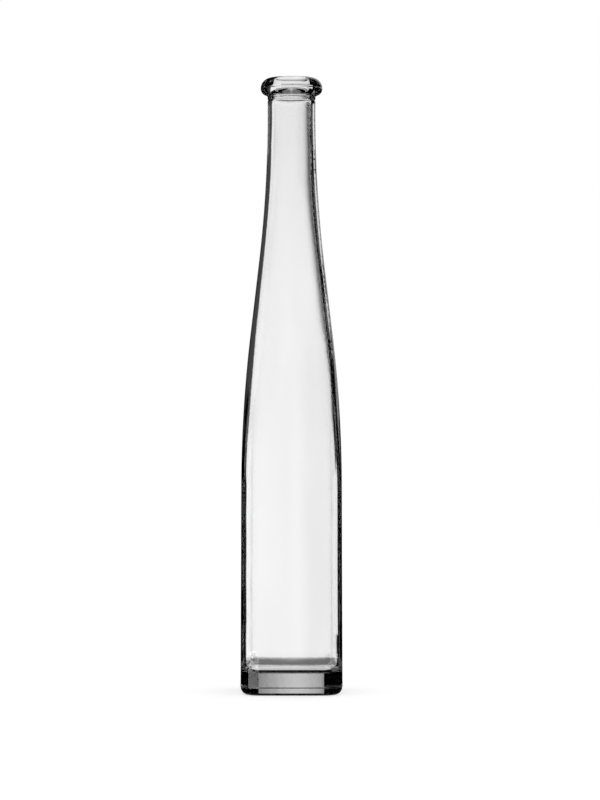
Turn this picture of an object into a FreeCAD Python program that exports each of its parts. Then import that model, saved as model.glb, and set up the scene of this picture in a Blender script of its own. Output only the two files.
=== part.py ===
"""Slim clear-glass bottle: a square foot and body that draw in to a round neck.

Units are millimetres. +Z runs up the bottle, and the origin is the middle of its foot.
The bottle is one solid of glass. Its outside is lofted through sections that change from
a rounded square to a circle, and its inside is the same loft one wall further in.
"""
import FreeCAD, Part
import math
import os
import Sketcher

NODE = "bottle"

DRIVING_SIZES = {
    # the whole
    "overall_height": 255.0,
    "foot_width": 42.4,
    "corner_radius": 8.0,
    # the outline, from the foot up
    "shoulder_height": 85.0,
    "body_taper": 0.6,
    "flank_rise": 30.0,
    "round_height": 152.0,
    "finish_height": 15.0,
    "neck_diameter": 19.9,
    # the ring round the mouth
    "ring_diameter": 25.7,
    "ring_lower_radius": 2.9,
    "ring_root_radius": 0.9,
    "rim_width": 0.7,
    "mouth_edge_radius": 0.5,
    # the line under the ring, where the ring's mould met the body's
    "parting_drop": 1.2,
    "parting_radius": 0.5,
    "parting_depth": 0.2,
    # the glass
    "wall": 2.3,
    "base_thickness": 9.0,
    "floor_radius": 4.0,
    "heel_radius": 3.3,
    # the domed hollow under the foot
    "bearing_width": 3.4,
    "hollow_depth": 1.3,
    "hollow_edge_radius": 2.0,
}

# half the angle that one side's arc spans: nearly flat on the body, an even share when round
FLAT_SPREAD = 2.0
ROUND_SPREAD = 22.5

SIDES = 4
BLEND_STEPS = 4
ABOVE_MOUTH = 2.0
LEVEL_WITHIN = 0.001

# turns a round cut about the bottle, so that its seam lies off the seams of what it cuts
SEAM_TURN = 30.0

ORIGIN_POINT = (-1, 1)
ACROSS = -1
UPRIGHT = -2
START, END, CENTRE = 1, 2, 3


# ---- values ----

def add_sizes(doc):
    """The driving sizes, one to a cell."""
    sheet = doc.addObject("Spreadsheet::Sheet", "Sizes")
    for row, (name, value) in enumerate(DRIVING_SIZES.items(), start=1):
        sheet.set(f"A{row}", str(value))
        sheet.setAlias(f"A{row}", name)
    doc.recompute()


def add_values(owner, formulas):
    """Gives an object named values, each worked out from the sheet or from those before it."""
    for name, formula in formulas.items():
        is_angle = "deg" in formula or "atan" in formula
        owner.addProperty("App::PropertyAngle" if is_angle else "App::PropertyFloat", name, "Outline")
        owner.setExpression(name, formula)
        owner.recompute()


def add_outline(doc):
    """The side view: an upright body line, a straight flank and an upright neck line.

    Two blends of one radius join them, and blend_reach is the tangent length of a blend.
    The ring's upper arc runs from its widest point in to the rim of the mouth, its lower
    arc from there down to a small root arc, and the root arc into the neck.
    """
    outline = doc.addObject("App::VarSet", "Outline")
    add_values(outline, {
        "shoulder_width": "Sizes.foot_width - Sizes.body_taper",
        "neck_height": "Sizes.overall_height - Sizes.finish_height",
        "draw_in": "(Outline.shoulder_width - Sizes.neck_diameter) / 2",
        "rise": "Outline.neck_height - Sizes.shoulder_height",
        "blend_reach": "(Outline.rise - Sizes.flank_rise) / 4",
        "lean": "atan(Outline.draw_in / (Outline.rise - 2 * Outline.blend_reach))",
        "blend_radius": "Outline.blend_reach / tan(Outline.lean / 2)",
        "bore_radius": "Sizes.neck_diameter / 2 - Sizes.wall",
        "ring_upper_radius": "Sizes.ring_diameter / 2 - Outline.bore_radius - Sizes.rim_width",
        "ring_height": "Sizes.overall_height - Outline.ring_upper_radius",
        "ring_lower_centre": "Sizes.ring_diameter / 2 - Sizes.ring_lower_radius",
        "root_centre": "Sizes.neck_diameter / 2 + Sizes.ring_root_radius",
        "root_across": "Outline.root_centre - Outline.ring_lower_centre",
        "root_reach": "Sizes.ring_lower_radius + Sizes.ring_root_radius",
        "root_height": "Outline.ring_height - sqrt(Outline.root_reach ^ 2 - Outline.root_across ^ 2)",
        "parting_height": "Outline.root_height - Sizes.parting_drop",
        "parting_centre": "Sizes.neck_diameter / 2 + Sizes.parting_radius - Sizes.parting_depth",
        "hollow_radius": "Sizes.foot_width / 2 - Sizes.heel_radius - Sizes.bearing_width",
    })
    doc.recompute()
    return outline


# ---- sketches ----

def attach(feature, body, role):
    """Puts a sketch or a round cut on one of the body's own origin planes."""
    plane = next(plane for plane in body.Origin.OriginFeatures if plane.Role == role)
    feature.AttachmentSupport = [(plane, "")]
    feature.MapMode = "FlatFace"


def add_dimension(sketch, name, formula, kind, *where):
    """A dimension with its own name that follows the formula."""
    value = float(sketch.evalExpression(formula))
    index = sketch.addConstraint(Sketcher.Constraint(kind, *where, value))
    sketch.renameConstraint(index, name)
    sketch.setExpression(f"Constraints.{name}", formula)


def place_point(sketch, name, geometry, point, across, up):
    """Holds a point at a distance across and up from the sketch's origin."""
    add_dimension(sketch, f"{name}_across", across, "DistanceX", *ORIGIN_POINT, geometry, point)
    add_dimension(sketch, f"{name}_up", up, "DistanceY", *ORIGIN_POINT, geometry, point)


def constrain(sketch, kind, *where):
    sketch.addConstraint(Sketcher.Constraint(kind, *where))


def arc(centre, radius, start, end):
    """An arc that runs anticlockwise between two angles in degrees."""
    circle = Part.Circle(FreeCAD.Vector(*centre, 0), FreeCAD.Vector(0, 0, 1), radius)
    return Part.ArcOfCircle(circle, math.radians(start), math.radians(end))


def line(start, end):
    return Part.LineSegment(FreeCAD.Vector(*start, 0), FreeCAD.Vector(*end, 0))


def turned(point, degrees):
    """A point turned about the sketch's origin."""
    cosine, sine = math.cos(math.radians(degrees)), math.sin(math.radians(degrees))
    return (point[0] * cosine - point[1] * sine, point[0] * sine + point[1] * cosine)


# ---- level sections, from a rounded square to a circle ----

def add_section_values(sketch, height, half_width, inset):
    """The values of one section. roundness goes from 0 on the body to 1 where it is a circle.

    side and corner are the radii of its side arcs and corner arcs, and joint_near and
    joint_far place the point where a side arc meets a corner arc.
    """
    me = sketch.Name
    change = "(Sizes.round_height - Sizes.shoulder_height)"
    bulge = f"(1 - cos({me}.spread) + sin({me}.spread))"
    add_values(sketch, {
        "height": height,
        "half_width": f"{half_width} - {inset}",
        "way_up": f"max(0; min(1; ({me}.height - Sizes.shoulder_height) / {change}))",
        "roundness": f"{me}.way_up ^ 2 * (3 - 2 * {me}.way_up)",
        "spread": f"{FLAT_SPREAD} deg + {ROUND_SPREAD - FLAT_SPREAD} deg * {me}.roundness",
        "square_corner": f"Sizes.corner_radius - {inset}",
        "corner": f"{me}.square_corner + ({me}.half_width - {me}.square_corner) * {me}.roundness",
        "side": f"({me}.half_width + {me}.corner * (sin({me}.spread) - cos({me}.spread))) / {bulge}",
        "joint_near": f"{me}.side * sin({me}.spread)",
        "joint_far": f"{me}.half_width - {me}.side * (1 - cos({me}.spread))",
    })


def draw_section(sketch):
    """Four side arcs and four corner arcs, in turn and tangent to each other."""
    spread = sketch.spread.Value
    corner_offset = (sketch.side - sketch.corner) * math.sin(math.radians(spread))
    for side in range(SIDES):
        turn = 90 * side
        side_centre = turned((0, sketch.side - sketch.half_width), turn)
        corner_centre = turned((corner_offset, -corner_offset), turn)
        sketch.addGeometry(arc(side_centre, sketch.side, turn - 90 - spread, turn - 90 + spread))
        sketch.addGeometry(arc(corner_centre, sketch.corner, turn - 90 + spread, turn - spread))


def hold_section(sketch):
    """Fixes the eight arcs: closed, the same on all four sides, and sized by the values."""
    arcs = 2 * SIDES
    front, right, back, left = range(0, arcs, 2)
    for index in range(arcs):
        constrain(sketch, "Coincident", index, END, (index + 1) % arcs, START)
    for side, axis in ((front, UPRIGHT), (back, UPRIGHT), (right, ACROSS), (left, ACROSS)):
        constrain(sketch, "Symmetric", side, START, side, END, axis)
        constrain(sketch, "PointOnObject", side, CENTRE, axis)
    constrain(sketch, "Symmetric", front, END, back, START, ACROSS)
    constrain(sketch, "Symmetric", right, START, left, END, UPRIGHT)
    for index in range(2, arcs):
        constrain(sketch, "Equal", index % 2, index)
    me = sketch.Name
    add_dimension(sketch, "side", f"{me}.side", "Radius", front)
    add_dimension(sketch, "corner", f"{me}.corner", "Radius", front + 1)
    place_point(sketch, "front_joint", front, END, f"{me}.joint_near", f"-{me}.joint_far")
    place_point(sketch, "right_joint", right, START, f"{me}.joint_far", f"-{me}.joint_near")


def add_section(body, name, level, inset):
    """One section of the outside (no inset) or of the inside (inset by the wall)."""
    sketch = body.newObject("Sketcher::SketchObject", name)
    attach(sketch, body, "XY_Plane")
    add_section_values(sketch, *level, inset)
    sketch.setExpression("AttachmentOffset.Base.z", f"{name}.height")
    draw_section(sketch)
    hold_section(sketch)
    return sketch


def body_level(height):
    """A height on the body and the outline's half width there, as formulas."""
    return height, f"(Sizes.foot_width - Sizes.body_taper * {height} / Sizes.shoulder_height) / 2"


def shoulder_levels():
    """Heights from the shoulder up to the neck and the half widths there, as formulas."""
    angles = [f"(Outline.lean * {step} / {BLEND_STEPS})" for step in range(BLEND_STEPS + 1)]
    lower = [(
        f"Sizes.shoulder_height + Outline.blend_radius * sin({angle})",
        f"Outline.shoulder_width / 2 - Outline.blend_radius * (1 - cos({angle}))",
    ) for angle in angles]
    upper = [(
        f"Outline.neck_height - Outline.blend_radius * sin({angle})",
        f"Sizes.neck_diameter / 2 + Outline.blend_radius * (1 - cos({angle}))",
    ) for angle in reversed(angles)]
    return lower + upper


# ---- the ring and mouth, turned about the bottle's axis ----

def draw_finish(sketch, outline):
    """Half of the solid neck end: up the neck past the parting line, round the ring and in to the axis."""
    sizes = sketch.Document.Sizes
    neck, bottom, top = sizes.neck_diameter / 2, outline.neck_height, sizes.overall_height
    parting_centre = (outline.parting_centre, outline.parting_height)
    half_open = math.degrees(math.acos(1 - sizes.parting_depth / sizes.parting_radius))
    half_gap = sizes.parting_radius * math.sin(math.radians(half_open))
    root_centre = (outline.root_centre, outline.root_height)
    lower_centre = (outline.ring_lower_centre, outline.ring_height)
    upper_centre = (sizes.ring_diameter / 2 - outline.ring_upper_radius, outline.ring_height)
    down = outline.root_height - outline.ring_height
    facing = math.degrees(math.atan2(down, outline.root_across))
    for piece in (
        line((0, bottom), (neck, bottom)),
        line((neck, bottom), (neck, outline.parting_height - half_gap)),
        arc(parting_centre, sizes.parting_radius, 180 - half_open, 180 + half_open),
        line((neck, outline.parting_height + half_gap), (neck, outline.root_height)),
        arc(root_centre, sizes.ring_root_radius, facing + 180, 180),
        arc(lower_centre, sizes.ring_lower_radius, facing, 0),
        arc(upper_centre, outline.ring_upper_radius, 0, 90),
        line((upper_centre[0], top), (0, top)),
        line((0, top), (0, bottom)),
    ):
        sketch.addGeometry(piece)


def hold_finish(sketch):
    """Fixes the neck end by the radii of its arcs and by the neck's and the ring's widths."""
    foot, side, parting, collar, root, lower, upper, top, axis = range(9)
    constrain(sketch, "Coincident", foot, END, side, START)
    constrain(sketch, "Coincident", side, END, parting, END)
    constrain(sketch, "Coincident", parting, START, collar, START)
    constrain(sketch, "Tangent", collar, END, root, END)
    constrain(sketch, "Tangent", root, START, lower, START)
    constrain(sketch, "Horizontal", lower, CENTRE, lower, END)
    constrain(sketch, "Tangent", lower, END, upper, START)
    constrain(sketch, "Tangent", upper, END, top, START)
    constrain(sketch, "Coincident", top, END, axis, START)
    constrain(sketch, "Coincident", axis, END, foot, START)
    constrain(sketch, "Horizontal", foot)
    constrain(sketch, "Vertical", side)
    constrain(sketch, "Vertical", collar)
    constrain(sketch, "PointOnObject", collar, START, side)
    constrain(sketch, "Horizontal", top)
    constrain(sketch, "PointOnObject", axis, START, UPRIGHT)
    constrain(sketch, "PointOnObject", axis, END, UPRIGHT)
    add_dimension(sketch, "parting", "Sizes.parting_radius", "Radius", parting)
    add_dimension(sketch, "root", "Sizes.ring_root_radius", "Radius", root)
    add_dimension(sketch, "lower", "Sizes.ring_lower_radius", "Radius", lower)
    add_dimension(sketch, "upper", "Outline.ring_upper_radius", "Radius", upper)
    place_point(sketch, "neck", foot, END, "Sizes.neck_diameter / 2", "Outline.neck_height")
    place_point(sketch, "groove", parting, CENTRE, "Outline.parting_centre", "Outline.parting_height")
    place_point(sketch, "widest", lower, END, "Sizes.ring_diameter / 2", "Outline.ring_height")


def add_finish(body, outline):
    sketch = body.newObject("Sketcher::SketchObject", "FinishOutline")
    attach(sketch, body, "XZ_Plane")
    draw_finish(sketch, outline)
    hold_finish(sketch)
    body.Document.recompute()
    finish = body.newObject("PartDesign::Revolution", "Finish")
    finish.Profile = (sketch, [""])
    finish.ReferenceAxis = (sketch, ["V_Axis"])
    finish.Angle = 360
    body.Document.recompute()


# ---- features of the solid ----

def add_loft(body, kind, name, sections):
    loft = body.newObject(f"PartDesign::{kind}", name)
    loft.Profile = (sections[0], [""])
    loft.Sections = [(section, [""]) for section in sections[1:]]
    body.Document.recompute()


def add_skin(body, kind, prefix, bottom, inset):
    """The body's straight loft and the shoulder's curved one, which share a section."""
    foot = add_section(body, f"{prefix}Foot", body_level(bottom), inset)
    shoulder = [
        add_section(body, f"{prefix}Shoulder{index}", level, inset)
        for index, level in enumerate(shoulder_levels())
    ]
    add_loft(body, kind, f"{prefix}Body", [foot, shoulder[0]])
    add_loft(body, kind, f"{prefix}Neck", shoulder)


def add_primitive(body, kind, name, height, **sizes):
    """A round cut on the bottle's axis, with its formulas for height and sizes."""
    cut = body.newObject(f"PartDesign::Subtractive{kind}", name)
    attach(cut, body, "XY_Plane")
    cut.AttachmentOffset = FreeCAD.Placement(FreeCAD.Vector(), FreeCAD.Rotation(SEAM_TURN, 0, 0))
    cut.setExpression("AttachmentOffset.Base.z", height)
    for size, formula in sizes.items():
        cut.setExpression(size, formula)
    body.Document.recompute()


def level_edges(shape, height, reach):
    """Names of the edges that lie level at a height and within a reach of the axis."""
    names = []
    for index, edge in enumerate(shape.Edges, start=1):
        middle = edge.valueAt((edge.FirstParameter + edge.LastParameter) / 2)
        points = [middle] + [corner.Point for corner in edge.Vertexes]
        level = all(abs(point.z - height) < LEVEL_WITHIN for point in points)
        if level and all(math.hypot(point.x, point.y) < reach for point in points):
            names.append(f"Edge{index}")
    return names


def add_fillet(body, name, height, reach, radius):
    """Rounds the edges that lie level at a height, within a reach of the axis."""
    fillet = body.newObject("PartDesign::Fillet", name)
    base = fillet.BaseFeature
    fillet.Base = (base, level_edges(base.Shape, height, reach))
    fillet.setExpression("Radius", radius)
    body.Document.recompute()


def add_bottle(doc, outline):
    """The one solid of glass."""
    sizes = doc.Sizes
    body = doc.addObject("PartDesign::Body", "Bottle")
    body.Label = NODE

    add_skin(body, "AdditiveLoft", "Outside", "0", "0")
    add_fillet(body, "Heel", 0, sizes.foot_width, "Sizes.heel_radius")
    add_finish(body, outline)

    add_skin(body, "SubtractiveLoft", "Inside", "Sizes.base_thickness", "Sizes.wall")
    add_primitive(
        body, "Cylinder", "Bore", "Outline.neck_height",
        Radius="Outline.bore_radius",
        Height=f"Sizes.overall_height - Outline.neck_height + {ABOVE_MOUTH}",
    )
    add_fillet(body, "FloorCorner", sizes.base_thickness, sizes.foot_width, "Sizes.floor_radius")
    mouth_reach = outline.bore_radius + sizes.mouth_edge_radius
    add_fillet(body, "MouthEdge", sizes.overall_height, mouth_reach, "Sizes.mouth_edge_radius")

    dome = "(Outline.hollow_radius ^ 2 + Sizes.hollow_depth ^ 2) / (2 * Sizes.hollow_depth)"
    add_primitive(body, "Sphere", "Hollow", f"Sizes.hollow_depth - {dome}", Radius=dome)
    hollow_reach = outline.hollow_radius + sizes.hollow_edge_radius
    add_fillet(body, "HollowEdge", 0, hollow_reach, "Sizes.hollow_edge_radius")
    return body


# ---- checks and files ----

def check(doc, bodies):
    """Stops unless every object was worked out and every body is one sound solid."""
    failed = [thing.Name for thing in doc.Objects if {"Invalid", "Error"} & set(thing.State)]
    if failed:
        raise RuntimeError(f"not worked out: {', '.join(failed)}")
    sketches = doc.findObjects("Sketcher::SketchObject")
    loose = [sketch.Name for sketch in sketches if not sketch.FullyConstrained]
    if loose:
        raise RuntimeError(f"not fully constrained: {', '.join(loose)}")
    for body in bodies:
        shape = body.Shape
        if shape.isNull() or not shape.isValid() or len(shape.Solids) != 1:
            raise RuntimeError(f"{body.Label} is not one sound solid")


def write(bodies):
    os.makedirs("parts", exist_ok=True)
    for body in bodies:
        body.Shape.exportStep(os.path.join("parts", f"{body.Label}.step"))


def main():
    doc = FreeCAD.newDocument("SlimBottle")
    add_sizes(doc)
    outline = add_outline(doc)
    bodies = [add_bottle(doc, outline)]
    doc.recompute()
    check(doc, bodies)
    write(bodies)


main()
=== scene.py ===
import math

import bpy
from mathutils import Matrix, Vector, noise


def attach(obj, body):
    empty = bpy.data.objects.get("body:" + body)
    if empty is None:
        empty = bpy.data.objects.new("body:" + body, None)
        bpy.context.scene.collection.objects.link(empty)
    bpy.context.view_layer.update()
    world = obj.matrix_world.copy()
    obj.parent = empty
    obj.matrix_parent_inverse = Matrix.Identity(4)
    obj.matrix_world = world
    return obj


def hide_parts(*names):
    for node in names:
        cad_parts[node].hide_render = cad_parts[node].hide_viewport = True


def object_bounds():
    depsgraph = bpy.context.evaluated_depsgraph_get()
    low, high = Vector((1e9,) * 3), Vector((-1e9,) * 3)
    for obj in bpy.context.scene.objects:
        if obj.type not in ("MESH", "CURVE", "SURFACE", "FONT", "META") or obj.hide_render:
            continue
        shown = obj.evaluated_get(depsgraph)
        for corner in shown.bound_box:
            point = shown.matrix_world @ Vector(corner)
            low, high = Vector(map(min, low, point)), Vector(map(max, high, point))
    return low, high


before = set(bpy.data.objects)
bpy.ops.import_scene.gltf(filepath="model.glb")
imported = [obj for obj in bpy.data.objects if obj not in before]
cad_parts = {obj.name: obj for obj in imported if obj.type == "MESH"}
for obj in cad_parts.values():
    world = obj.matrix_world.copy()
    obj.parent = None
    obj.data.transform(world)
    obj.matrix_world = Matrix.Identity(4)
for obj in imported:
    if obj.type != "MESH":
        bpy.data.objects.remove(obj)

cad_low, cad_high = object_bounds()

MM = 0.001

# ---- the bottle's sizes, as in the CAD model ----

HEIGHT = cad_high.z
FOOT_WIDTH = 42.4 * MM
CORNER_RADIUS = 8.0 * MM
SHOULDER_HEIGHT = 85.0 * MM
BODY_TAPER = 0.6 * MM
FLANK_RISE = 30.0 * MM
ROUND_HEIGHT = 152.0 * MM
NECK_HEIGHT = HEIGHT - 15.0 * MM
NECK_RADIUS = 9.95 * MM
WALL = 2.3 * MM
BORE_RADIUS = NECK_RADIUS - WALL
BASE_THICKNESS = 9.0 * MM
FLOOR_RADIUS = 4.0 * MM
HEEL_RADIUS = 3.3 * MM
HOLLOW_RADIUS = 14.5 * MM
HOLLOW_DEPTH = 1.3 * MM
HOLLOW_EDGE_RADIUS = 2.0 * MM
RING_RADIUS = 12.85 * MM
RING_UPPER_RADIUS = 4.5 * MM
RING_LOWER_RADIUS = 2.9 * MM
RING_ROOT_RADIUS = 0.9 * MM
MOUTH_EDGE_RADIUS = 0.5 * MM
PARTING_DROP = 1.2 * MM
PARTING_RADIUS = 0.5 * MM
PARTING_DEPTH = 0.2 * MM

FLAT_SPREAD = math.radians(2.0)
ROUND_SPREAD = math.radians(22.5)

# ---- how fine the mesh is ----

LEVEL_STEP = 1.5 * MM
STEPS_PER_ARC = 20

# Loops over the ring's top, over a larger round or the inner floor, over a small round, and over
# the edge and the flat of the foot.
RING_STEPS = 16
ROUND_STEPS = 12
SMALL_STEPS = 8
FOOT_STEPS = 3

# ---- the blown glass's uneven inner surface ----

WAVE_DEPTH = 0.08 * MM
WAVE_LENGTH = 18.0 * MM
WAVE_FADE = 12.0 * MM


# ---- the outline and the level sections ----

def blend(start, end, share):
    return start + (end - start) * share


def half_width_at(z):
    """Half the bottle's width at a height, up to the neck."""
    shoulder_half = (FOOT_WIDTH - BODY_TAPER) / 2
    if z <= SHOULDER_HEIGHT:
        return (FOOT_WIDTH - BODY_TAPER * z / SHOULDER_HEIGHT) / 2
    draw_in = shoulder_half - NECK_RADIUS
    climb = NECK_HEIGHT - SHOULDER_HEIGHT
    reach = (climb - FLANK_RISE) / 4
    lean = math.atan(draw_in / (climb - 2 * reach))
    radius = reach / math.tan(lean / 2)
    up, down = z - SHOULDER_HEIGHT, NECK_HEIGHT - z
    if up < radius * math.sin(lean):
        return shoulder_half - (radius - math.sqrt(radius ** 2 - up ** 2))
    if down < radius * math.sin(lean):
        return NECK_RADIUS + (radius - math.sqrt(radius ** 2 - max(down, 0) ** 2))
    return shoulder_half - (up - reach) * math.tan(lean)


def roundness_at(z):
    """0 on the square body, 1 where the section is a circle."""
    way_up = min(1, max(0, (z - SHOULDER_HEIGHT) / (ROUND_HEIGHT - SHOULDER_HEIGHT)))
    return way_up ** 2 * (3 - 2 * way_up)


def section(z, inset):
    """Half width, corner radius and spread of a level section, inset by a distance."""
    half_width = half_width_at(z) - inset
    square_corner = CORNER_RADIUS - inset
    share = roundness_at(z)
    return half_width, blend(square_corner, half_width, share), blend(FLAT_SPREAD, ROUND_SPREAD, share)


def loop_points(z, half_width, corner, spread):
    """Points round a level section: a side arc and a corner arc on each of four sides."""
    sine, cosine = math.sin(spread), math.cos(spread)
    side = (half_width + corner * (sine - cosine)) / (1 - cosine + sine)
    offset = (side - corner) * sine
    points = []
    for quarter in range(4):
        turn = math.radians(90 * quarter)
        for centre, radius, start, end in (
            ((0, side - half_width), side, -math.pi / 2 - spread, -math.pi / 2 + spread),
            ((offset, -offset), corner, -math.pi / 2 + spread, -spread),
        ):
            for step in range(STEPS_PER_ARC):
                angle = blend(start, end, step / STEPS_PER_ARC)
                x = centre[0] + radius * math.cos(angle)
                y = centre[1] + radius * math.sin(angle)
                points.append(Vector((
                    x * math.cos(turn) - y * math.sin(turn),
                    x * math.sin(turn) + y * math.cos(turn),
                    z,
                )))
    return points


def round_loop(z, radius):
    return loop_points(z, radius, radius, ROUND_SPREAD)


def levels(start, end):
    """Heights from start to end, about LEVEL_STEP apart, both ends included."""
    count = max(1, round(abs(end - start) / LEVEL_STEP))
    return [blend(start, end, step / count) for step in range(count + 1)]


def angles(start, end, count):
    return [math.radians(blend(start, end, step / count)) for step in range(count + 1)]


# ---- loops from the middle of the foot, up the outside, over the ring and down the inside ----

def foot_loops():
    """Out over the domed hollow, round its edge and across the flat ring that the bottle stands on."""
    dome = (HOLLOW_RADIUS ** 2 + HOLLOW_DEPTH ** 2) / (2 * HOLLOW_DEPTH)
    dome_centre = HOLLOW_DEPTH - dome
    edge_centre = math.sqrt((dome + HOLLOW_EDGE_RADIUS) ** 2 - (HOLLOW_EDGE_RADIUS - dome_centre) ** 2)
    edge_turn = math.asin(edge_centre / (dome + HOLLOW_EDGE_RADIUS))
    loops = []
    for step in range(1, ROUND_STEPS + 1):
        turn = edge_turn * step / ROUND_STEPS
        loops.append(round_loop(dome_centre + dome * math.cos(turn), dome * math.sin(turn)))
    for step in range(1, FOOT_STEPS + 1):
        turn = edge_turn * (1 - step / FOOT_STEPS)
        z = HOLLOW_EDGE_RADIUS * (1 - math.cos(turn))
        loops.append(round_loop(z, edge_centre - HOLLOW_EDGE_RADIUS * math.sin(turn)))
    foot_half = half_width_at(0) - HEEL_RADIUS
    for step in range(1, FOOT_STEPS + 1):
        share = step / FOOT_STEPS
        loops.append(loop_points(
            0,
            blend(edge_centre, foot_half, share),
            blend(edge_centre, CORNER_RADIUS - HEEL_RADIUS, share),
            blend(ROUND_SPREAD, FLAT_SPREAD, share),
        ))
    return loops


def fillet_loops(z, inset, radius, inside):
    """A quarter round where upright walls meet a level face at z."""
    loops = []
    for turn in angles(0, 90, ROUND_STEPS):
        draw_in = radius * (1 - math.sin(turn))
        height = z + radius * (1 - math.cos(turn))
        half_width, corner, spread = section(height, inset)
        loops.append(loop_points(height, half_width - draw_in, corner - draw_in, spread))
    return loops[::-1] if inside else loops


def ring_loops():
    """Over the parting line under the ring, and round the ring to the mouth's edge."""
    ring_height = HEIGHT - RING_UPPER_RADIUS
    lower_centre = RING_RADIUS - RING_LOWER_RADIUS
    root_centre = NECK_RADIUS + RING_ROOT_RADIUS
    across = root_centre - lower_centre
    root_height = ring_height - math.sqrt((RING_LOWER_RADIUS + RING_ROOT_RADIUS) ** 2 - across ** 2)
    facing = math.degrees(math.atan2(root_height - ring_height, across))
    parting_height = root_height - PARTING_DROP
    parting_centre = NECK_RADIUS + PARTING_RADIUS - PARTING_DEPTH
    parting_open = math.degrees(math.acos(1 - PARTING_DEPTH / PARTING_RADIUS))
    upper_centre = RING_RADIUS - RING_UPPER_RADIUS
    mouth_centre = BORE_RADIUS + MOUTH_EDGE_RADIUS
    mouth_height = HEIGHT - MOUTH_EDGE_RADIUS
    arcs = (
        (parting_centre, parting_height, PARTING_RADIUS, 180 + parting_open, 180 - parting_open, SMALL_STEPS),
        (root_centre, root_height, RING_ROOT_RADIUS, 180, 180 + facing, SMALL_STEPS),
        (lower_centre, ring_height, RING_LOWER_RADIUS, facing, 0, ROUND_STEPS),
        (upper_centre, ring_height, RING_UPPER_RADIUS, 0, 90, RING_STEPS),
        (mouth_centre, mouth_height, MOUTH_EDGE_RADIUS, 90, 180, SMALL_STEPS),
    )
    loops = []
    for centre, height, radius, start, end, count in arcs:
        for turn in angles(start, end, count):
            loops.append(round_loop(height + radius * math.sin(turn), centre + radius * math.cos(turn)))
    return loops


def skin_loops(heights, inset):
    return [loop_points(z, *section(z, inset)) for z in heights]


def wavy(loop, floor_top):
    """Moves the inner surface's points in or out a little, less towards its two ends."""
    z = loop[0].z
    fade = min(1, min(z - floor_top, NECK_HEIGHT - z) / WAVE_FADE)
    moved = []
    for point in loop:
        outwards = Vector((point.x, point.y, 0)).normalized()
        moved.append(point + outwards * WAVE_DEPTH * fade * noise.noise(point / WAVE_LENGTH))
    return moved


def bottle_loops():
    """All the loops in order. A stretch leaves out its first loop where the one before it ends there."""
    floor_top = BASE_THICKNESS + FLOOR_RADIUS
    loops = foot_loops()
    loops += fillet_loops(0, 0, HEEL_RADIUS, inside=False)[1:]
    loops += skin_loops(levels(HEEL_RADIUS, SHOULDER_HEIGHT), 0)[1:]
    loops += skin_loops(levels(SHOULDER_HEIGHT, NECK_HEIGHT), 0)[1:]
    ring = ring_loops()
    loops += [round_loop(z, NECK_RADIUS) for z in levels(NECK_HEIGHT, ring[0][0].z)[1:-1]]
    loops += ring
    loops += [round_loop(z, BORE_RADIUS) for z in levels(HEIGHT - MOUTH_EDGE_RADIUS, NECK_HEIGHT)[1:]]
    inside = skin_loops(levels(NECK_HEIGHT, SHOULDER_HEIGHT), WALL)[1:]
    inside += skin_loops(levels(SHOULDER_HEIGHT, floor_top), WALL)[1:]
    loops += [wavy(loop, floor_top) for loop in inside]
    loops += fillet_loops(BASE_THICKNESS, WALL, FLOOR_RADIUS, inside=True)[1:]
    half_width, corner, spread = section(BASE_THICKNESS, WALL + FLOOR_RADIUS)
    for step in range(1, ROUND_STEPS):
        share = 1 - step / ROUND_STEPS
        loops.append(loop_points(BASE_THICKNESS, half_width * share, corner * share, spread))
    return loops


def bottle_mesh():
    """Joins the loops with quads, closes both ends with a point and makes it as wide as the CAD box."""
    loops = bottle_loops()
    columns = len(loops[0])
    vertices = [Vector((0, 0, HOLLOW_DEPTH))]
    for loop in loops:
        vertices += loop
    vertices.append(Vector((0, 0, BASE_THICKNESS)))
    last = len(vertices) - 1
    faces = []
    for column in range(columns):
        beside = (column + 1) % columns
        faces.append((0, 1 + beside, 1 + column))
        for row in range(len(loops) - 1):
            low, high = 1 + row * columns, 1 + (row + 1) * columns
            faces.append((low + column, low + beside, high + beside, high + column))
        top = 1 + (len(loops) - 1) * columns
        faces.append((top + column, top + beside, last))
    mesh = bpy.data.meshes.new("bottle_glass")
    mesh.from_pydata([tuple(v) for v in vertices], [], faces)
    fit = cad_high.x / max(v.x for v in vertices)
    mesh.transform(Matrix.Diagonal((fit, fit, 1, 1)))
    mesh.polygons.foreach_set("use_smooth", [True] * len(mesh.polygons))
    mesh.validate()
    mesh.update()
    return mesh


# ---- small helpers for node trees ----

def feed(tree, socket, value):
    """Sets a socket to a number, or links another node's output to it."""
    if isinstance(value, (int, float)):
        socket.default_value = value
    else:
        tree.links.new(value, socket)


def calculate(tree, operation, *values):
    node = tree.nodes.new("ShaderNodeMath")
    node.operation = operation
    for socket, value in zip(node.inputs, values):
        feed(tree, socket, value)
    return node.outputs[0]


def product(tree, *values):
    result = values[0]
    for value in values[1:]:
        result = calculate(tree, "MULTIPLY", result, value)
    return result


def total(tree, *values):
    result = values[0]
    for value in values[1:]:
        result = calculate(tree, "ADD", result, value)
    return result


def invert(tree, value):
    return calculate(tree, "SUBTRACT", 1.0, value)


def rise(tree, value, low, high):
    """0 below low, 1 above high and smooth between them."""
    node = tree.nodes.new("ShaderNodeMapRange")
    node.interpolation_type = "SMOOTHSTEP"
    feed(tree, node.inputs["Value"], value)
    node.inputs["From Min"].default_value = low
    node.inputs["From Max"].default_value = high
    return node.outputs[0]


def fall(tree, value, low, high):
    """1 below low, 0 above high and smooth between them."""
    return invert(tree, rise(tree, value, low, high))


def band(tree, value, edges):
    """0 up to the first edge and 1 from the second. Two more edges, if given, take it back to 0."""
    start = rise(tree, value, *edges[:2])
    if len(edges) == 2:
        return start
    return product(tree, start, fall(tree, value, *edges[2:]))


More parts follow.
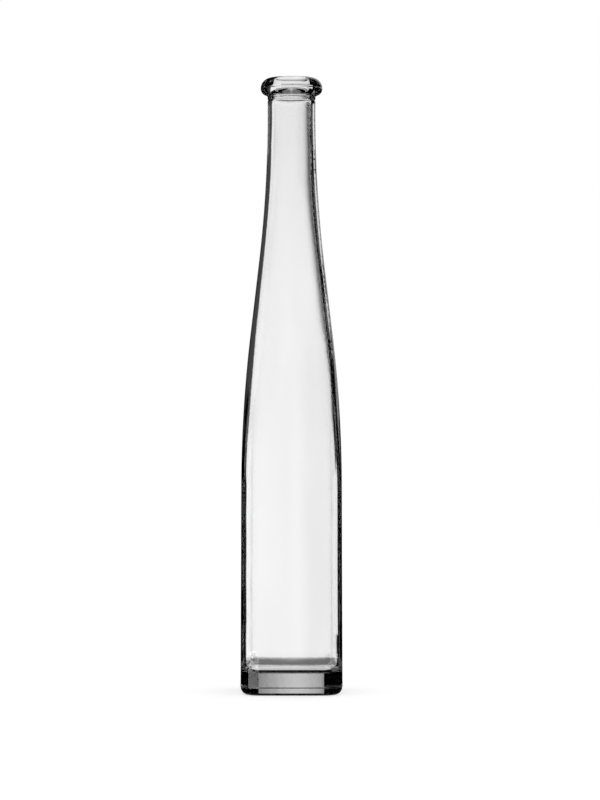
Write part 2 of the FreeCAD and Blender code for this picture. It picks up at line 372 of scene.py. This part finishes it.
def dimmed(tree, value, edges, amount):
    """1 up to the first edge, and less by an amount from the second."""
    return invert(tree, product(tree, rise(tree, value, *edges), amount))


def choose(tree, test, yes, no):
    """yes where test is 1, no where it is 0."""
    return total(tree, product(tree, test, yes), product(tree, invert(tree, test), no))


def split(tree, vector):
    """The X, Y and Z of a place or a direction."""
    node = tree.nodes.new("ShaderNodeSeparateXYZ")
    tree.links.new(vector, node.inputs[0])
    return node.outputs


def diffuse(tree, grey):
    node = tree.nodes.new("ShaderNodeBsdfDiffuse")
    node.inputs["Color"].default_value = (grey, grey, grey, 1)
    return node.outputs[0]


def mix_shaders(tree, share, first, second):
    """The first shader where share is 0, the second where it is 1."""
    node = tree.nodes.new("ShaderNodeMixShader")
    feed(tree, node.inputs["Fac"], share)
    tree.links.new(first, node.inputs[1])
    tree.links.new(second, node.inputs[2])
    return node.outputs[0]


def light_path(tree):
    """Tests on how a ray came. Depths are whole numbers, so a limit lies half way between two."""
    path = tree.nodes.new("ShaderNodeLightPath")
    reflections = path.outputs["Glossy Depth"]
    crossings = path.outputs["Transmission Depth"]
    return {
        "diffuse": path.outputs["Is Diffuse Ray"],
        "unreflected": calculate(tree, "LESS_THAN", reflections, 0.5),
        "repeated": calculate(tree, "GREATER_THAN", reflections, 1.5),
        "through_glass": calculate(tree, "GREATER_THAN", crossings, 0.5),
        "through_hollow": calculate(tree, "GREATER_THAN", crossings, 2.5),
    }


# ---- the glass ----

GLASS_IOR = 1.52
STREAK_SCALE = 70.0
STREAK_STRETCH = 0.18
STREAK_SEED = 9.0
STREAK_DETAIL = 2.0
STREAK_RANGE = (0.3, 0.55)
CLOUDY = 0.97
# Painted shade: the glass's tint is made darker on the right, below the shoulder's middle.
PAINTED_SIDE_SHADE = 0.04
PAINTED_SHADE_ACROSS = (1.5 * MM, 9.0 * MM)
PAINTED_SHADE_HEIGHT = (130.0 * MM, 170.0 * MM)
GRAIN_SCALE = 500.0
GRAIN_DETAIL = 1.0
GRAIN_DEPTH = 0.01 * MM


def streaky_tint_with_side_shade(tree, place):
    """White with faint upright streaks, and painted shade on the right that fades half way up the shoulder.
    """
    stretch = tree.nodes.new("ShaderNodeMapping")
    stretch.inputs["Scale"].default_value = (1, 1, STREAK_STRETCH)
    tree.links.new(place, stretch.inputs["Vector"])
    streaks = tree.nodes.new("ShaderNodeTexNoise")
    streaks.noise_dimensions = "4D"
    streaks.inputs["W"].default_value = STREAK_SEED
    streaks.inputs["Scale"].default_value = STREAK_SCALE
    streaks.inputs["Detail"].default_value = STREAK_DETAIL
    tree.links.new(stretch.outputs[0], streaks.inputs["Vector"])
    tint = tree.nodes.new("ShaderNodeMapRange")
    tint.inputs["From Min"].default_value = STREAK_RANGE[0]
    tint.inputs["From Max"].default_value = STREAK_RANGE[1]
    tint.inputs["To Min"].default_value = CLOUDY
    tint.inputs["To Max"].default_value = 1.0
    tree.links.new(streaks.outputs["Fac"], tint.inputs["Value"])
    # Painted shade: darker on the right, fading out half way up the shoulder.
    parts = split(tree, place)
    across = rise(tree, parts["X"], *PAINTED_SHADE_ACROSS)
    side_shade = product(tree, across, fall(tree, parts["Z"], *PAINTED_SHADE_HEIGHT), PAINTED_SIDE_SHADE)
    return calculate(tree, "SUBTRACT", tint.outputs[0], side_shade)


def grainy_normal(tree, place):
    grain = tree.nodes.new("ShaderNodeTexNoise")
    grain.inputs["Scale"].default_value = GRAIN_SCALE
    grain.inputs["Detail"].default_value = GRAIN_DETAIL
    tree.links.new(place, grain.inputs["Vector"])
    bump = tree.nodes.new("ShaderNodeBump")
    bump.inputs["Strength"].default_value = 1.0
    bump.inputs["Distance"].default_value = GRAIN_DEPTH
    tree.links.new(grain.outputs["Fac"], bump.inputs["Height"])
    return bump.outputs[0]


def glass_material():
    """Clear glass with faint cloudy streaks, painted shade on its right side and a slightly uneven surface.
    """
    material = bpy.data.materials.new("clear_glass")
    material.use_nodes = True
    tree = material.node_tree
    shader = tree.nodes["Principled BSDF"]
    shader.inputs["Roughness"].default_value = 0.0
    shader.inputs["IOR"].default_value = GLASS_IOR
    shader.inputs["Transmission Weight"].default_value = 1.0
    place = tree.nodes.new("ShaderNodeTexCoord").outputs["Object"]
    tree.links.new(streaky_tint_with_side_shade(tree, place), shader.inputs["Base Color"])
    tree.links.new(grainy_normal(tree, place), shader.inputs["Normal"])
    return material


# ---- the floor ----

FLOOR_HALF = 1.3
FLOOR_GREY = 0.8
FLOOR_GLOW = 0.6

# A painted shadow behind the bottle, by the distance back and aside. It reaches further back off its middle.
PATCH_SHADE = 0.84
PATCH_START = (0.0, 0.03)
PATCH_END = (0.03, 0.15)
PATCH_SIDE = (0.03, 0.09)
OFF_MIDDLE_REACH = 1.5
OFF_MIDDLE_LIMIT = 0.07

# A fainter painted shadow all round the foot.
FOOT_SHADE = 0.35
FOOT_SHADE_END = (0.03, 0.07)


def floor_shade(tree):
    """How dark the painted shadow makes the floor as it shows through the hollow, from 0 for white to 1 for
    black.
    """
    place = tree.nodes.new("ShaderNodeNewGeometry").outputs["Position"]
    length = tree.nodes.new("ShaderNodeVectorMath")
    length.operation = "LENGTH"
    tree.links.new(place, length.inputs[0])
    distance = length.outputs["Value"]
    parts = split(tree, place)
    aside = calculate(tree, "ABSOLUTE", parts["X"])
    further = calculate(tree, "MINIMUM", product(tree, aside, OFF_MIDDLE_REACH), OFF_MIDDLE_LIMIT)
    end = fall(tree, calculate(tree, "SUBTRACT", distance, further), *PATCH_END)
    side = fall(tree, aside, *PATCH_SIDE)
    behind = rise(tree, parts["Y"], *PATCH_START)
    patch_shade = product(tree, end, side, behind, PATCH_SHADE)
    foot_shade = product(tree, fall(tree, distance, *FOOT_SHADE_END), FOOT_SHADE)
    return calculate(tree, "MAXIMUM", patch_shade, foot_shade)


def floor_material():
    """A pale floor that takes the bottle's shadow.

    Glass shows it only straight through the hollow, as a white glow less a painted shadow behind and round
    the bottle. Rays that were reflected, or that went through solid glass, pass it and meet the studio.
    """
    material = bpy.data.materials.new("pale_floor")
    material.use_nodes = True
    tree = material.node_tree
    tree.nodes.clear()
    path = light_path(tree)
    glow = tree.nodes.new("ShaderNodeEmission")
    # Through glass the floor is black matt, and its glow is white less the painted shadow.
    strength = choose(tree, path["through_glass"], invert(tree, floor_shade(tree)), FLOOR_GLOW)
    feed(tree, glow.inputs["Strength"], strength)
    matt = mix_shaders(tree, path["through_glass"], diffuse(tree, FLOOR_GREY), diffuse(tree, 0.0))
    look = tree.nodes.new("ShaderNodeAddShader")
    tree.links.new(matt, look.inputs[0])
    tree.links.new(glow.outputs[0], look.inputs[1])

    clear = tree.nodes.new("ShaderNodeBsdfTransparent")
    through_hollow = product(tree, path["unreflected"], path["through_hollow"])
    shown = choose(tree, path["through_glass"], through_hollow, path["unreflected"])
    output = tree.nodes.new("ShaderNodeOutputMaterial")
    floor = mix_shaders(tree, shown, clear.outputs[0], look.outputs[0])
    tree.links.new(floor, output.inputs["Surface"])
    return material


def make_floor():
    mesh = bpy.data.meshes.new("floor")
    corners = [(x * FLOOR_HALF, y * FLOOR_HALF, 0) for x, y in ((-1, -1), (1, -1), (1, 1), (-1, 1))]
    mesh.from_pydata(corners, [], [(0, 1, 2, 3)])
    floor = bpy.data.objects.new("floor", mesh)
    bpy.context.scene.collection.objects.link(floor)
    floor.data.materials.append(floor_material())


# ---- the studio's light ----

# Angles are in degrees: azimuth from +Y towards +X, elevation above the horizon and steepness away
# from it, up or down. A patch has its edges in azimuth, its edges in elevation and its strength, and
# band says what two or four edges mean. Edges at -181 and -180, or -91 and -90, leave that side open.

AMBIENT = 0.5


def patch_light(tree, azimuth, elevation, patch):
    azimuth_edges, elevation_edges, strength = patch
    return product(tree, band(tree, azimuth, azimuth_edges), band(tree, elevation, elevation_edges), strength)


def lit(tree, azimuth, elevation, *patches):
    """Black, and brighter in each patch."""
    return total(tree, *[patch_light(tree, azimuth, elevation, patch) for patch in patches])


def shaded(tree, azimuth, elevation, *patches):
    """White, and darker in each patch."""
    return product(tree, *[invert(tree, patch_light(tree, azimuth, elevation, patch)) for patch in patches])


# A dark flag on the right, which only the neck and the shoulder show.
FLAG = ((5, 23, 50, 70), (1.3, 3.0), 0.99)

FIELD_FADE = 0.3
FIELD_FADE_ELEVATION = (-1, 11)
FIELD_TOP_SHADE = ((-14, -9), (13, 18), 0.9)
FIELD_LOW_SHADE = ((-14, -9), (-11, -9, -6, -4), 0.6)


def back_light(tree, azimuth, elevation):
    """The white field behind the bottle, as it shows straight through the hollow."""
    field = dimmed(tree, elevation, FIELD_FADE_ELEVATION, FIELD_FADE)
    return product(tree, field, shaded(tree, azimuth, elevation, FLAG, FIELD_TOP_SHADE, FIELD_LOW_SHADE))


INNER_SIDE_SHADE = ((-160, -120, -60, -30), (-2.5, -1.5), 0.9)
INNER_LOW_SHADE = ((-60, -40, 40, 60), (-91, -90, -10, -6), 0.9)
INNER_FADE = 0.6
INNER_FADE_STEEPNESS = (18, 26)
REPEATED_SWING = (14, 19)
REPEATED_STEEPNESS = (8, 14)
REPEATED_STEEP_LIGHT = 0.55


def inner_light(tree, azimuth, elevation, steepness, repeated):
    """What the inner surface reflects once, and what is left after more reflections.

    Repeated reflections show white ahead, grey where steep and black to the sides.
    """
    shades = shaded(tree, azimuth, elevation, FLAG, INNER_SIDE_SHADE, INNER_LOW_SHADE)
    once = product(tree, shades, dimmed(tree, steepness, INNER_FADE_STEEPNESS, INNER_FADE))
    ahead = fall(tree, calculate(tree, "ABSOLUTE", azimuth), *REPEATED_SWING)
    again = choose(tree, rise(tree, steepness, *REPEATED_STEEPNESS), REPEATED_STEEP_LIGHT, ahead)
    return choose(tree, repeated, again, once)


STRIP_LIGHT = 0.28
STRIP_SWING = (2.2, 2.8)
STRIP_WIDENS_FROM = 20
STRIP_WIDENING = 0.6
STRIP_FADE = 0.45
STRIP_FADE_STEEPNESS = (18, 30)
CORE_LIGHT = 0.3
CORE_AZIMUTH = -0.4
CORE_SWING = (0.0, 2.0)


def solid_light(tree, azimuth, steepness):
    """The narrow strip of the white field that shows through solid glass, brightest at its core."""
    past = calculate(tree, "MAXIMUM", calculate(tree, "SUBTRACT", steepness, STRIP_WIDENS_FROM), 0)
    wider = product(tree, past, STRIP_WIDENING)
    swing = calculate(tree, "SUBTRACT", calculate(tree, "ABSOLUTE", azimuth), wider)
    strip = fall(tree, swing, *STRIP_SWING)
    fade = dimmed(tree, steepness, STRIP_FADE_STEEPNESS, STRIP_FADE)
    off_core = calculate(tree, "ABSOLUTE", calculate(tree, "SUBTRACT", azimuth, CORE_AZIMUTH))
    core = product(tree, fall(tree, off_core, *CORE_SWING), CORE_LIGHT)
    return product(tree, strip, fade, total(tree, core, STRIP_LIGHT))


SOFTBOX = ((-174, -171, -109, -106), (-14, -10, -4.45, -4.38), 2.9)
FIELD_EDGE = ((1, 4, 28, 38), (0, 2), 0.65)


def outer_light(tree, azimuth, elevation):
    """What the outer surface reflects: a soft box low on the left and the field's edge on the right."""
    return lit(tree, azimuth, elevation, SOFTBOX, FIELD_EDGE)


ROOM_LIGHT = 0.002
GLOOM = ((-181, -180, 0, 20), (-1.5, 0.5, 11, 14), 0.06)
LEFT_LINE = ((-100, -85, -53, -43), (-5.25, -5.15, 9, 12), 0.9)
LEFT_LINE_LEAN = 1.5
LEFT_LINE_PIVOT = 5
RIGHT_LINE = ((46, 54, 95, 110), (-4.7, -4.55, 2.5, 6), 0.9)
NECK_LINE = ((3, 10, 24, 33), (3.2, 4.2, 9, 12), 0.9)


def wall_light(tree, azimuth, elevation):
    """What is totally reflected inside the wall: the dark room, and bright lines from the sides."""
    below = calculate(tree, "SUBTRACT", LEFT_LINE_PIVOT, elevation)
    leaning = total(tree, azimuth, product(tree, below, LEFT_LINE_LEAN))
    left = patch_light(tree, leaning, elevation, LEFT_LINE)
    return total(tree, lit(tree, azimuth, elevation, GLOOM, RIGHT_LINE, NECK_LINE), left, ROOM_LIGHT)


def make_world():
    """A bright-field studio: white straight behind the glass, dark all round it."""
    world = bpy.data.worlds.new("studio")
    bpy.context.scene.world = world
    world.use_nodes = True
    tree = world.node_tree
    tree.nodes.clear()
    path = light_path(tree)
    east, north, up = split(tree, tree.nodes.new("ShaderNodeTexCoord").outputs["Generated"])
    azimuth = product(tree, calculate(tree, "ARCTAN2", east, north), math.degrees(1))
    elevation = product(tree, calculate(tree, "ARCSINE", up), math.degrees(1))
    steepness = calculate(tree, "ABSOLUTE", elevation)

    behind = back_light(tree, azimuth, elevation)
    inner = inner_light(tree, azimuth, elevation, steepness, path["repeated"])
    straight = choose(tree, path["through_hollow"], behind, solid_light(tree, azimuth, steepness))
    inside = choose(tree, path["through_hollow"], inner, wall_light(tree, azimuth, elevation))
    reflected = choose(tree, path["through_glass"], inside, outer_light(tree, azimuth, elevation))
    unreflected = choose(tree, path["through_glass"], straight, 1.0)
    seen = choose(tree, path["unreflected"], unreflected, reflected)
    strength = choose(tree, path["diffuse"], AMBIENT, seen)
    background = tree.nodes.new("ShaderNodeBackground")
    background.inputs["Color"].default_value = (1, 1, 1, 1)
    tree.links.new(strength, background.inputs["Strength"])
    output = tree.nodes.new("ShaderNodeOutputWorld")
    tree.links.new(background.outputs[0], output.inputs["Surface"])


# ---- the camera, the bottle and the scene ----

CAMERA_PLACE = (3.5 * MM, -1330.0 * MM, 127.0 * MM)
CAMERA_DOWN = math.radians(0.25)
SENSOR_WIDTH = 36
LENS = 144
CLIP_START = 10.0 * MM

GLASS_BOUNCES = 24
GLOSSY_BOUNCES = 16


def make_camera():
    """A long lens, level but for a slight tilt down."""
    camera = bpy.data.cameras.new("camera")
    camera.sensor_width = SENSOR_WIDTH
    camera.lens = LENS
    camera.clip_start = CLIP_START
    holder = bpy.data.objects.new("camera", camera)
    holder.location = CAMERA_PLACE
    holder.rotation_euler = (math.radians(90) - CAMERA_DOWN, 0, 0)
    bpy.context.scene.collection.objects.link(holder)
    bpy.context.scene.camera = holder


def make_bottle():
    bottle = bpy.data.objects.new("bottle_glass", bottle_mesh())
    bpy.context.scene.collection.objects.link(bottle)
    bottle.data.materials.append(glass_material())
    bottle.modifiers.new("flat_stays_flat", "WEIGHTED_NORMAL")
    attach(bottle, "root")
    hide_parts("bottle")


make_bottle()
make_floor()
make_camera()
make_world()

scene = bpy.context.scene
scene.view_settings.view_transform = "Standard"
scene.cycles.max_bounces = GLASS_BOUNCES
scene.cycles.glossy_bounces = GLOSSY_BOUNCES
scene.cycles.transmission_bounces = GLASS_BOUNCES
